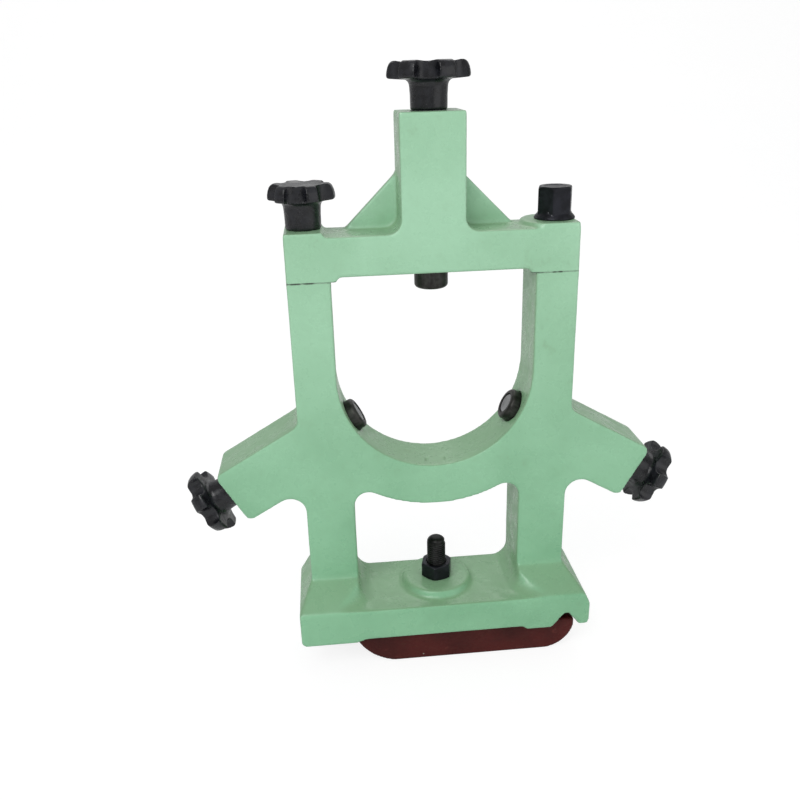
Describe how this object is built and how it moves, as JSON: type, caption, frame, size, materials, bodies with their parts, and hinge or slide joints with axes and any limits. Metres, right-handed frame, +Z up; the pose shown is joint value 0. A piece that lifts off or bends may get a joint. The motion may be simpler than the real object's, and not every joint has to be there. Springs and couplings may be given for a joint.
{
  "type": "lathe steady rest",
  "caption": "Fixed steady rest for a lathe bed with screw-fed jaws, a swinging cap held by star knob, flat and vee ways, and a clamp plate below.",
  "frame": {"origin": "point on the work axis where the three jaws point, in the middle of the frame's depth", "axes": "+Y along the work axis towards the back, where the foot is flush; +Z up from the bed, towards the top jaw; +X towards the vee way"},
  "size_m": [0.4076, 0.0812, 0.4813],
  "materials": {
    "green_paint": "semi-gloss enamel on a casting",
    "black_plastic": "moulded thermoset",
    "blackened_steel": "blued",
    "bright_steel": "ground",
    "dark_steel": "oiled",
    "red_oxide": "matt primer on a casting",
    "brass": "turned"
  },
  "bodies": {
    "frame": {"lower_frame": "green_paint", "left_jaw_bush": "dark_steel", "right_jaw_bush": "dark_steel", "left_key_screw": "dark_steel", "right_key_screw": "dark_steel", "clamp_stud": "dark_steel", "pivot_stud": "dark_steel", "pivot_collar_nut": "blackened_steel"},
    "cap": {"top_cap": "green_paint", "top_jaw_bush": "dark_steel", "top_key_screw": "dark_steel"},
    "clamp_insert": {"clamp_knob_insert": "brass"},
    "clamp_knob": {"clamp_knob": "black_plastic"},
    "bed_nut": {"clamp_nut": "dark_steel"},
    "bed_bolt": {"clamp_bolt": "dark_steel"},
    "bed_plate": {"clamp_plate": "red_oxide"},
    "top_feed": {"top_jaw_screw": "dark_steel", "top_jaw_knob": "black_plastic", "top_knob_insert": "brass"},
    "top_jaw": {"top_jaw_quill": "blackened_steel", "top_jaw_tip": "bright_steel"},
    "left_feed": {"left_jaw_screw": "dark_steel", "left_jaw_knob": "black_plastic", "left_knob_insert": "brass"},
    "left_jaw": {"left_jaw_quill": "blackened_steel", "left_jaw_tip": "bright_steel"},
    "right_feed": {"right_jaw_screw": "dark_steel", "right_jaw_knob": "black_plastic", "right_knob_insert": "brass"},
    "right_jaw": {"right_jaw_quill": "blackened_steel", "right_jaw_tip": "bright_steel"}
  },
  "joints": [
    {"name": "cap_swing", "type": "hinge", "parent": "frame", "child": "cap", "pos_m": [0.095, 0, 0.078], "axis": [0, 0, 1], "range_deg": [0, 110]},
    {"name": "clamp_knob_lift", "type": "slide", "parent": "frame", "child": "clamp_insert", "axis": [0, 0, 1], "range_m": [0, 0.00525]},
    {"name": "clamp_knob_turn", "type": "hinge", "parent": "clamp_insert", "child": "clamp_knob", "pos_m": [-0.095, 0, 0.1145], "axis": [0, 0, 1], "range_deg": [0, 1081]},
    {"name": "bed_nut_turn", "type": "hinge", "parent": "frame", "child": "bed_nut", "pos_m": [0, -0.011, -0.187], "axis": [0, 0, 1], "range_deg": [0, 3601]},
    {"name": "bed_bolt_travel", "type": "slide", "parent": "frame", "child": "bed_bolt", "axis": [0, 0, 1], "range_m": [-0.02, 0]},
    {"name": "bed_plate_swivel", "type": "hinge", "parent": "bed_bolt", "child": "bed_plate", "pos_m": [0, -0.011, -0.2242], "axis": [0, 0, 1], "range_deg": [-90, 90]},
    {"name": "top_knob_turn", "type": "hinge", "parent": "cap", "child": "top_feed", "pos_m": [0, 0, 0], "axis": [0, 0, -1], "range_deg": [-1297, 5425]},
    {"name": "top_jaw_travel", "type": "slide", "parent": "cap", "child": "top_jaw", "axis": [0, 0, -1], "range_m": [-0.0108, 0.0452]},
    {"name": "left_knob_turn", "type": "hinge", "parent": "frame", "child": "left_feed", "pos_m": [0, 0, 0], "axis": [0.866, 0, 0.5], "range_deg": [-889, 5833]},
    {"name": "left_jaw_travel", "type": "slide", "parent": "frame", "child": "left_jaw", "axis": [0.866, 0, 0.5], "range_m": [-0.0074, 0.0486]},
    {"name": "right_knob_turn", "type": "hinge", "parent": "frame", "child": "right_feed", "pos_m": [0, 0, 0], "axis": [-0.866, 0, 0.5], "range_deg": [-889, 5833]},
    {"name": "right_jaw_travel", "type": "slide", "parent": "frame", "child": "right_jaw", "axis": [-0.866, 0, 0.5], "range_m": [-0.0074, 0.0486]}
  ],
  "couplings": [
    {"joint": "clamp_knob_turn", "follows": "clamp_knob_lift", "rad_per_m": 3590.4},
    {"joint": "bed_nut_turn", "follows": "bed_bolt_travel", "rad_per_m": -3141.6},
    {"joint": "top_knob_turn", "follows": "top_jaw_travel", "rad_per_m": 2094.4},
    {"joint": "left_knob_turn", "follows": "left_jaw_travel", "rad_per_m": 2094.4},
    {"joint": "right_knob_turn", "follows": "right_jaw_travel", "rad_per_m": 2094.4}
  ]
}
